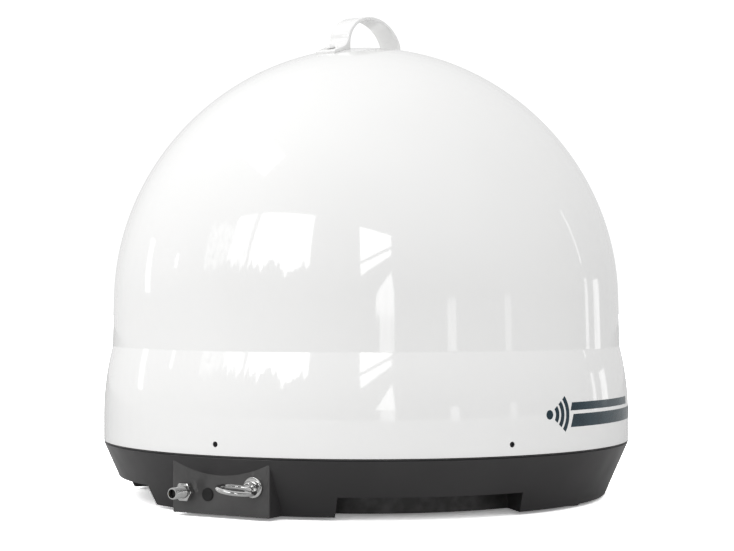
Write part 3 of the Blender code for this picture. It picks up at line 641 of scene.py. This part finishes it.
def domeScrewFrame(number):
    # Local Z points straight out of the skirt
    centre = middle(f"dome_screw_{number}")
    bearing = math.atan2(centre.y, centre.x)
    out = Vector((math.cos(bearing), math.sin(bearing), 0))
    spot = out * skirtRadius + Vector((0, 0, centre.z))
    return Matrix.Translation(spot) @ Matrix.Rotation(bearing, 4, "Z") @ Matrix.Rotation(math.pi / 2, 4, "Y")


def makeDome():
    mesh = spunMesh("domeCover", domeProfile(), dome["steps"], loop=False, sharpAngle=20)
    cover = showPiece("domeCover", mesh, "gloss_white", ["dome_cover"])
    uncut = mesh.copy()
    helpers = []
    hole = domeScrew["hole"] * mm
    for number in range(1, domeScrew["count"] + 1):
        cutter = spunMesh("holeCutter", [(0, 2 * mm), (hole, 2 * mm), (hole, -domeScrew["depth"] * mm),
                                         (0, -domeScrew["depth"] * mm)], 28, loop=False)
        helpers.append(helperObject(f"holeCutter{number}", cutter, domeScrewFrame(number)))
        boolean(cover, helpers[-1])
    applyModifiers(cover)
    cover.data.set_sharp_from_angle(angle=math.radians(20))
    keepShading(cover, uncut)
    bpy.data.meshes.remove(uncut)
    dropHelpers(helpers)


def makeDomeScrews():
    head, socket = domeScrew["head"] * mm, domeScrew["socket"] * mm
    floor = -domeScrew["depth"] * mm
    top = -0.35 * mm
    profile = [(0, top - 0.7 * mm), (socket, top - 0.7 * mm), (socket * 1.1, top)]
    profile += arcPoints((head - 0.4 * mm, top - 0.4 * mm), 0.4 * mm, 90, 0, 4)
    seat, shank, tip = floor + 0.05 * mm, 1.5 * mm, -11 * mm
    profile += [(head, seat), (shank, seat), (shank, tip), (0, tip)]
    for number in range(1, domeScrew["count"] + 1):
        mesh = spunMesh(f"domeScrew{number}", profile, 24, loop=False)
        showPiece(
            f"domeScrew{number}", mesh, "black_steel", [f"dome_screw_{number}"], domeScrewFrame(number)
        )


# Printed mark on the skirt, generic: a dot, three signal arcs and a tapering pair of stripes.
# Lengths run along the skirt from its left end, heights from the mark's foot, in millimetres
skirtMark = {
    "start": 293.6,
    "foot": 68.6,
    "tall": 26.0,
    "arcs": (7.0, 13.2, 19.4),
    "arcWidth": 4.0,
    "arcSpread": 38.0,
    "dot": 3.8,
    "stripes": ((29.0, 2.0, 150.0, 10.5), (29.0, 15.5, 118.0, 6.5)),
    "thick": 0.09,
}


def wrapOnSkirt(shape, spec):
    # Flat shapes lie in X (along) and Y (up); Z is the print's own thickness
    start = math.radians(spec["start"])
    for vertex in shape.verts:
        along, up, lift = vertex.co
        height = (spec["foot"] + up) * mm
        radius = domeRadiusAt(height) + lift * mm
        angle = start + along * mm / skirtRadius
        vertex.co = (radius * math.cos(angle), radius * math.sin(angle), height)


def addPatch(shape, rows, low, high):
    # A grid of flat points, rows[i][j], made into a thin closed sheet
    layers = [[[shape.verts.new((x, y, z)) for x, y in row] for row in rows] for z in (high, low)]
    top, under = layers
    for i in range(len(rows) - 1):
        for j in range(len(rows[0]) - 1):
            shape.faces.new((top[i][j], top[i + 1][j], top[i + 1][j + 1], top[i][j + 1]))
            shape.faces.new((under[i][j], under[i][j + 1], under[i + 1][j + 1], under[i + 1][j]))
    last, end = len(rows) - 1, len(rows[0]) - 1
    rim = [(i, 0) for i in range(last)] + [(last, j) for j in range(end)]
    rim += [(i, end) for i in range(last, 0, -1)] + [(0, j) for j in range(end, 0, -1)]
    for (i, j), (k, m) in zip(rim, rim[1:] + rim[:1]):
        shape.faces.new((top[i][j], under[i][j], under[k][m], top[k][m]))


def makeSkirtMark():
    spec = skirtMark
    shape = bmesh.new()
    centre = (spec["dot"], spec["tall"] / 2)
    low, high = 0.02, spec["thick"]
    spread = math.radians(spec["arcSpread"])
    for radius in spec["arcs"]:
        rows = []
        for i in range(25):
            angle = spread * (2 * i / 24 - 1)
            rows.append([
                (centre[0] + r * math.cos(angle), centre[1] + r * math.sin(angle))
                for r in (radius, radius + spec["arcWidth"] / 2, radius + spec["arcWidth"])
            ])
        addPatch(shape, rows, low, high)
    rows = []
    for i in range(17):
        x = spec["dot"] * math.cos(math.pi * i / 16)
        half = max(0.12, math.sqrt(max(0.0, spec["dot"] ** 2 - x**2)))
        rows.append([(centre[0] - x, centre[1] + half * side) for side in (-1, 0, 1)])
    addPatch(shape, rows, low, high)
    for start, foot, length, tall in spec["stripes"]:
        rows = []
        count = 40
        for i in range(count + 1):
            along = start + length * i / count
            lean = 0.0 if i else tall * 0.35
            rows.append([(along + lean * k / 3, foot + tall * k / 3) for k in range(4)])
        addPatch(shape, rows, low, high)
    wrapOnSkirt(shape, spec)
    mesh = bpy.data.meshes.new("skirtMark")
    finishMesh(shape, mesh, 60)
    showPiece("skirtMark", mesh, "black_plastic", finish="tealPrint")


makeSkirtMark()
makeDome()
makeDomeScrews()
print("dome ready")


# The base pan: tapered side, four finger recesses and the connector panel, all in millimetres
basePan = {
    "topRadius": 234.4,
    "footRadius": 213.9,
    "edge": 1.6,
    "wall": 3.0,
    "recessHalfWidth": 76.6,
    "recessRadius": 186.0,
    "recessCeiling": 19.2,
    "recessCorner": 2.0,
    "panelHalfWidth": 46.7,
    "panelFace": 228.2,
    "panelTop": 46.0,
    "panelEdge": 1.4,
    "spigotOuter": 230.7,
    "spigotTop": 68.5,
    "spigotInner": 227.3,
    "steps": 240,
}


def basePanProfile():
    p = basePan
    under = underside / mm
    top = rimHeight / mm - 1.6
    slope = (p["topRadius"] - p["footRadius"]) / (top - under)
    lean = math.degrees(math.atan(slope))
    centre = (p["footRadius"] - p["edge"] * 0.45, under + p["edge"])
    foot = arcPoints(centre, p["edge"], -lean, -90, 6)
    shelf = top - 0.5
    points = [(0, p["spigotTop"]), (p["spigotOuter"], p["spigotTop"]), (p["spigotOuter"], top)]
    points += arcPoints((p["topRadius"] - 0.5, shelf), 0.5, 90, -lean, 4)
    points += foot + [(0, under)]
    return [(r * mm, z * mm) for r, z in points]


def recessPlan(halfWidth, radius, corner):
    # The pocket seen from above, opening towards -Y, with rounded inner corners
    reach = 270.0
    side = math.asin(halfWidth / radius)
    points = []
    rows = 40
    blend = corner / radius
    for i in range(rows + 1):
        angle = -math.pi / 2 - (side - blend) + 2 * (side - blend) * i / rows
        points.append((radius * math.cos(angle), radius * math.sin(angle)))
    endY = -math.sqrt(radius**2 - halfWidth**2)
    points += [(halfWidth - corner * 0.25, endY - corner * 0.3), (halfWidth, endY - corner)]
    points += [(halfWidth, -reach), (-halfWidth, -reach), (-halfWidth, endY - corner)]
    points += [(-halfWidth + corner * 0.25, endY - corner * 0.3)]
    return [(x * mm, y * mm) for x, y in points]


def makeBasePan():
    p = basePan
    mesh = spunMesh("basePan", basePanProfile(), p["steps"], loop=False)
    pan = showPiece("basePan", mesh, "dark_grey", ["base_pan"])
    uncut = mesh.copy()
    helpers = []

    half, face = p["panelHalfWidth"], p["panelFace"]
    outline = [(-half, -face), (half, -face), (half, -180.0), (-half, -180.0)]
    block = prismMesh("panelBlock", [(x * mm, y * mm) for x, y in outline], underside, p["panelTop"] * mm,
                      bevel=p["panelEdge"] * mm, segments=4)
    for vertex in block.vertices:
        # The block's foot is square to the floor, so only its upright edges stay rounded
        if vertex.co.z < underside + p["panelEdge"] * mm * 1.01:
            vertex.co.z = min(vertex.co.z, underside + 0.35 * mm)
    helpers.append(helperObject("panelBlock", block, panelFrame))
    boolean(pan, helpers[-1], "UNION")

    room = [(0, 80), (p["spigotInner"], 80), (p["spigotInner"], 45.9), (226.0, 40.0), (211.5, 5.5), (0, 5.5)]
    cavity = helperObject("room", spunMesh("room", [(r * mm, z * mm) for r, z in room], 96, loop=False))
    grown = recessPlan(p["recessHalfWidth"] + p["wall"], p["recessRadius"] - p["wall"], p["recessCorner"])
    pocket = recessPlan(p["recessHalfWidth"], p["recessRadius"], p["recessCorner"])
    ceiling = p["recessCeiling"]
    pockets = []
    for i in range(4):
        turn = Matrix.Rotation(i * math.pi / 2, 4, "Z")
        walls = prismMesh("pocketWalls", grown, -9 * mm, (ceiling + p["wall"]) * mm)
        helpers.append(helperObject(f"pocketWalls{i}", walls, turn))
        boolean(cavity, helpers[-1])
        space = prismMesh("pocket", pocket, -9 * mm, ceiling * mm)
        pockets.append(helperObject(f"pocket{i}", space, turn))
        boolean(pan, pockets[-1])
    helpers += pockets
    boolean(pan, cavity)
    for node, radius in (("coax_insulator", 5.1), ("blanking_plug", 3.9), ("security_eye_nut", 3.4)):
        cutter = spunMesh("panelHole", [(0, 9 * mm), (radius * mm, 9 * mm), (radius * mm, -12 * mm),
                                        (0, -12 * mm)], 32, loop=False)
        helpers.append(helperObject("panelHole" + node, cutter, panelSpot(node)))
        boolean(pan, helpers[-1])
    applyModifiers(pan)
    pan.data.shade_smooth()
    pan.data.set_sharp_from_angle(angle=math.radians(25))
    keepShading(pan, uncut)
    bpy.data.meshes.remove(uncut)
    pan.data.materials.append(looks["panelPlasticPaintedLight"])
    pan.data.materials.append(looks["recessPlasticPaintedLight"])
    for polygon in pan.data.polygons:
        # The recess walls are rougher than the outside, and their lighter tone is painted light, for the
        # light falling on the walls inside the recess
        centre = polygon.center
        insideRecess = p["recessRadius"] * mm - 0.5 * mm < centre.xy.length < 190 * mm
        if insideRecess and abs(polygon.normal.z) < 0.2 and centre.z < p["recessCeiling"] * mm:
            polygon.material_index = 2
        # The panel's face is smoother than the moulded cone round it, and its lighter tone is painted light,
        # for the light the face catches
        nearFace = polygon.center.dot(panelOut) > (p["panelFace"] - 1.5) * mm
        if nearFace and polygon.normal.dot(panelOut) > 0.3 and polygon.normal.z > -0.15:
            if abs(polygon.center.dot(panelSide)) < p["panelHalfWidth"] * mm:
                polygon.material_index = 1
    dropHelpers(helpers + [cavity])


def panelSpot(node):
    # A frame on the panel's face over that node, local Z straight out
    centre = middle(node)
    sideways = centre.dot(panelSide)
    spot = panelOut * (basePan["panelFace"] * mm) + panelSide * sideways
    spot.z = centre.z
    return Matrix.Translation(spot) @ panelFrame @ Matrix.Rotation(math.pi / 2, 4, "X")


def makeSeal():
    low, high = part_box("dome_seal")
    outer, inner = 234.75 * mm, 231.1 * mm
    middleZ = (low.z + high.z) / 2
    round_ = 0.45 * mm
    profile = arcPoints((outer - round_, middleZ), round_, 90, -90, 6)
    profile += [(inner, low.z), (inner, high.z)]
    showPiece("domeSeal", spunMesh("domeSeal", profile, 240), "black_rubber", ["dome_seal"],
              finish="sealRubber")


# Round rubber feet with a soft lower edge and a shallow ring in the sole
rubberFoot = {"radius": 12.0, "sole": 1.2, "ringRadius": 6.5, "ringDepth": 0.35}


def makeFeet():
    f = rubberFoot
    for i in range(1, 5):
        name = f"rubber_foot_{i}"
        low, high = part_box(name)
        centre = middle(name)
        tall = (high.z - low.z) / mm
        profile = [(0, tall), (f["radius"], tall), (f["radius"], tall - 0.3)]
        profile += arcPoints((f["radius"] - f["sole"], f["sole"]), f["sole"], 0, -90, 5)
        ring, depth = f["ringRadius"], f["ringDepth"]
        profile += [(ring + 0.8, 0), (ring + 0.4, depth), (ring - 0.4, depth), (ring - 0.8, 0)]
        profile.append((0, 0))
        mesh = spunMesh(f"rubberFoot{i}", [(r * mm, z * mm) for r, z in profile], 48, loop=False)
        spot = Matrix.Translation((centre.x, centre.y, low.z))
        showPiece(f"rubberFoot{i}", mesh, "black_rubber", [name], spot)


makeBasePan()
makeSeal()
makeFeet()
print("base ready")


# The carry handle: a moulded strap whose feet flare out into tabs on the dome
handle = {
    "width": 20.0,
    "halfSpan": 47.5,
    "rise": 28.4,
    "gripHalfSpan": 43.5,
    "gripRise": 25.9,
    "tabEnd": 70.5,
    "tabThick": 2.5,
    "flareHeight": 8.0,
    "flareLength": 3.65,
    "screwAt": 60.0,
    "bedded": 0.75,
    "edge": 0.7,
}


def handleOutline():
    h = handle
    apex = apexHeight / mm

    def surface(u):
        return domeHeightAt(abs(u) * mm) / mm + 0.3

    joinAt = h["halfSpan"] - 1.65
    flare = []
    for i in range(15):
        u = h["tabEnd"] - 1.2 + (joinAt - h["tabEnd"] + 1.2) * (i / 14) ** 0.8
        rise = h["flareHeight"] * math.exp((joinAt - u) / h["flareLength"])
        flare.append((u, surface(u) + h["tabThick"] + rise))
    end = surface(h["tabEnd"])
    tip = [(h["tabEnd"], end - h["bedded"]), (h["tabEnd"], end + h["tabThick"] - 0.9)]
    arch = []
    for i in range(1, 60):
        angle = math.pi * i / 60
        point = (h["halfSpan"] * math.cos(angle), apex + h["rise"] * math.sin(angle))
        if point[1] > flare[-1][1] + 1.0:
            arch.append(point)
    grip = []
    for i in range(49):
        angle = math.pi * i / 48
        grip.append((h["gripHalfSpan"] * math.cos(angle), apex + h["gripRise"] * math.sin(angle)))
    under = []
    for i in range(9):
        u = h["gripHalfSpan"] + (h["tabEnd"] - h["gripHalfSpan"]) * i / 9
        under.append((u, surface(u) - h["bedded"]))
    right = under + tip + flare
    left = [(-u, z) for u, z in right[::-1]]
    points = right + arch + left + grip[::-1]
    return [(u * mm, z * mm) for u, z in points]


def makeHandle():
    half = handle["width"] / 2 * mm
    mesh = prismMesh("carryHandle", handleOutline(), -half, half, bevel=handle["edge"] * mm, segments=3,
                     sharpAngle=40)
    upright = panelFrame @ Matrix.Rotation(math.pi / 2, 4, "Z") @ Matrix.Rotation(math.pi / 2, 4, "X")
    showPiece("carryHandle", mesh, "gloss_white", ["carry_handle"], upright)


# Pan-head screws with a cross recess
handleScrew = {"head": 4.25, "tall": 3.0, "cross": 2.3, "slot": 0.62, "deep": 1.5}


def handleScrewFrame(side):
    # Local Z stands square to the dome; side 1 is over the connector panel, -1 opposite
    radius = handle["screwAt"] * mm
    step = 0.5 * mm
    slope = (domeHeightAt(radius + step) - domeHeightAt(radius - step)) / (2 * step)
    spot = panelOut * (side * radius)
    spot.z = domeHeightAt(radius)
    normal = panelOut * (-slope * side) + Vector((0, 0, 1))
    return Matrix.Translation(spot) @ normal.to_track_quat("Z", "X").to_matrix().to_4x4()


def makeHandleScrews():
    s = handleScrew
    low = 3.15
    head, top = s["head"], low + s["tall"]
    profile = [(0, top), (1.0, top - 0.03), (2.0, top - 0.22), (3.0, top - 0.7), (3.7, top - 1.4)]
    profile += [(head, top - 2.3), (head, low + 0.2), (head - 0.2, low), (2.0, low), (2.0, -9.5), (0, -9.5)]
    for side, node in ((1, "handle_screw_front"), (-1, "handle_screw_rear")):
        name = "handleScrewFront" if side == 1 else "handleScrewRear"
        mesh = spunMesh(name, [(r * mm, z * mm) for r, z in profile], 48, loop=False)
        place = handleScrewFrame(side)
        # The near-white finish paints in the bright reflection that the steel heads show
        screw = showPiece(name, mesh, "zinc_steel", [node], place, finish="screwPaintedReflection")
        cutters = []
        for turn in (0, math.pi / 2):
            half, slot = s["cross"] * mm, s["slot"] * mm
            outline = [(-half, -slot), (half, -slot), (half, slot), (-half, slot)]
            bar = prismMesh("crossBar", outline, (top - s["deep"]) * mm, (top + 2) * mm)
            cutters.append(helperObject("crossBar", bar, place @ Matrix.Rotation(turn + 0.5, 4, "Z")))
            boolean(screw, cutters[-1])
        applyModifiers(screw)
        screw.data.set_sharp_from_angle(angle=math.radians(30))
        dropHelpers(cutters)


makeHandle()
makeHandleScrews()
print("handle ready")


# The aerial socket: a fine-threaded barrel, hex nut and insulator, lengths out from the panel
coax = {
    "barrel": 4.75,
    "bore": 3.6,
    "reach": 19.6,
    "pitch": 0.79,
    "threadDepth": 0.42,
    "nutAcross": 14.0,
    "nutThick": 5.0,
}


def threadedMesh(name, outer, inner, low, high, pitch, depth, steps=48, plainBelow=None):
    # A tube whose outer wall is a true helix; its high end runs out to a chamfer
    mesh = bpy.data.meshes.new(name)
    shape = bmesh.new()
    perPitch = 8
    rows = int((high - low) / pitch * perPitch)
    grid = []
    for row in range(rows + 1):
        z = low + (high - low) * row / rows
        ring = []
        for i in range(steps):
            angle = 2 * math.pi * i / steps
            phase = (z / pitch - i / steps) % 1.0
            cut = depth * (1 - abs(2 * phase - 1)) ** 0.8
            if plainBelow is not None and z < plainBelow:
                cut = 0.0
            chamfer = max(0.0, 0.6 * mm - (high - z)) * 0.8
            radius = outer - max(cut, chamfer)
            ring.append(shape.verts.new((radius * math.cos(angle), radius * math.sin(angle), z)))
        grid.append(ring)
    for z in (high, low):
        ring = []
        for i in range(steps):
            angle = 2 * math.pi * i / steps
            ring.append(shape.verts.new((inner * math.cos(angle), inner * math.sin(angle), z)))
        grid.append(ring)
    for row in range(len(grid)):
        upper, lower = grid[row], grid[(row + 1) % len(grid)]
        for i in range(steps):
            j = (i + 1) % steps
            shape.faces.new((upper[i], upper[j], lower[j], lower[i]))
    finishMesh(shape, mesh, 40)
    return mesh


def makeHexNut(name, slotName, node, across, bore, low, high, place):
    corner = across / math.sqrt(3)
    outline = [(corner * math.cos(k * math.pi / 3), corner * math.sin(k * math.pi / 3)) for k in range(6)]
    mesh = prismMesh(name, outline, low, high, bevel=0.15 * mm, segments=2)
    nut = showPiece(name, mesh, slotName, [node], place)
    tip = across / 2 * 1.02
    slope = 0.55
    crown = [
        (0, high), (tip, high), (corner + 1 * mm, high - (corner + 1 * mm - tip) * slope),
        (corner + 1 * mm, low + (corner + 1 * mm - tip) * slope), (tip, low), (0, low),
    ]
    past = 1 * mm
    hole = [(0, high + past), (bore, high + past), (bore, low - past), (0, low - past)]
    helpers = [
        helperObject("crown", spunMesh("crown", crown, 64, loop=False), place),
        helperObject("nutBore", spunMesh("nutBore", hole, 40, loop=False), place),
    ]
    boolean(nut, helpers[0], "INTERSECT")
    boolean(nut, helpers[1])
    applyModifiers(nut)
    nut.data.set_sharp_from_angle(angle=math.radians(28))
    dropHelpers(helpers)
    return nut


def makeCoax():
    c = coax
    place = panelSpot("coax_insulator")
    reach = (coaxSpot.dot(panelOut) - basePan["panelFace"] * mm)
    barrel = threadedMesh("coaxConnector", c["barrel"] * mm, c["bore"] * mm, -14 * mm, reach,
                          c["pitch"] * mm, c["threadDepth"] * mm, plainBelow=0.0)
    showPiece("coaxConnector", barrel, "bright_nickel", ["coax_connector"], place)
    makeHexNut("coaxNut", "bright_nickel", "coax_connector_nut", c["nutAcross"] * mm, 5.0 * mm, 0.3 * mm,
               (0.3 + c["nutThick"]) * mm, place)
    front = reach - 4.4 * mm
    profile = [(0.75 * mm, front - 0.4 * mm), (1.2 * mm, front), (3.1 * mm, front),
               (3.3 * mm, front - 0.2 * mm), (3.3 * mm, -13.5 * mm), (0.75 * mm, -13.5 * mm)]
    mesh = spunMesh("coaxInsulator", profile, 40)
    showPiece("coaxInsulator", mesh, "black_plastic", ["coax_insulator"], place)
    contact = [(0.2 * mm, front - 0.9 * mm), (0.45 * mm, front - 0.55 * mm), (0.68 * mm, front - 0.75 * mm),
               (0.68 * mm, -8 * mm), (0.2 * mm, -8 * mm)]
    showPiece("coaxContact", spunMesh("coaxContact", contact, 24), "brass", matrix=place)


def makePlug():
    place = panelSpot("blanking_plug")
    profile = [(0, 1.5), (3.6, 1.5), (4.3, 1.42)] + arcPoints((4.5, 0.6), 0.8, 75, 0, 4)
    profile += [(5.3, 0.3), (3.6, 0.3), (3.6, -6.6), (3.2, -7.0), (0, -7.0)]
    mesh = spunMesh("blankingPlug", [(r * mm, z * mm) for r, z in profile], 48, loop=False)
    showPiece("blankingPlug", mesh, "black_rubber", ["blanking_plug"], place)


# The security eye: a polished ring on a collar, over a thick round washer
eye = {"ring": 14.6, "wire": 1.9, "tilt": 8.0, "collar": 5.4, "washer": 8.5, "washerThick": 2.0}


def makeEye():
    e = eye
    place = panelSpot("security_eye_nut")
    distance = eyeSpot.dot(panelOut) - basePan["panelFace"] * mm
    near = distance / mm - e["ring"]
    shank = [(0, near), (2.9, near), (3.2, near - 0.8), (3.6, near - 1.4)]
    shank += arcPoints((e["collar"] - 1.2, near - 3.0), 1.2, 60, 0, 5)
    shank += [(e["collar"], 3.2), (e["collar"] - 0.4, 2.6), (3.0, 2.6)]
    shank += [(3.0, -13.6), (2.6, -14.0), (0, -14.0)]
    mesh = spunMesh("securityEyeBolt", [(r * mm, z * mm) for r, z in shank], 48, loop=False)
    bolt = showPiece("securityEyeBolt", mesh, "bright_nickel", ["security_eye_bolt"], place)
    section = arcPoints((e["ring"] * mm, 0), e["wire"] * mm, 0, -345, 23)
    spot = Matrix.Translation(eyeSpot) @ panelFrame @ Matrix.Rotation(math.radians(e["tilt"]), 4, "Y")
    loop = helperObject("eyeLoop", spunMesh("eyeLoop", section, 96, sharpAngle=60), spot)
    boolean(bolt, loop, "UNION")
    applyModifiers(bolt)
    bolt.data.set_sharp_from_angle(angle=math.radians(40))
    dropHelpers([loop])

    thick = e["washerThick"]
    outer = e["washer"]
    profile = [(3.5, 0.3 + thick - 0.2), (3.7, 0.3 + thick)]
    profile += arcPoints((outer - 0.9, 0.3 + thick - 0.9), 0.9, 90, 0, 6)
    profile += [(outer, 0.5), (outer - 0.2, 0.3), (3.5, 0.3)]
    mesh = spunMesh("securityEyeWasher", [(r * mm, z * mm) for r, z in profile], 64)
    showPiece("securityEyeWasher", mesh, "bright_nickel", ["security_eye_washer"], place)


makeCoax()
makePlug()
makeEye()
print("panel ready")
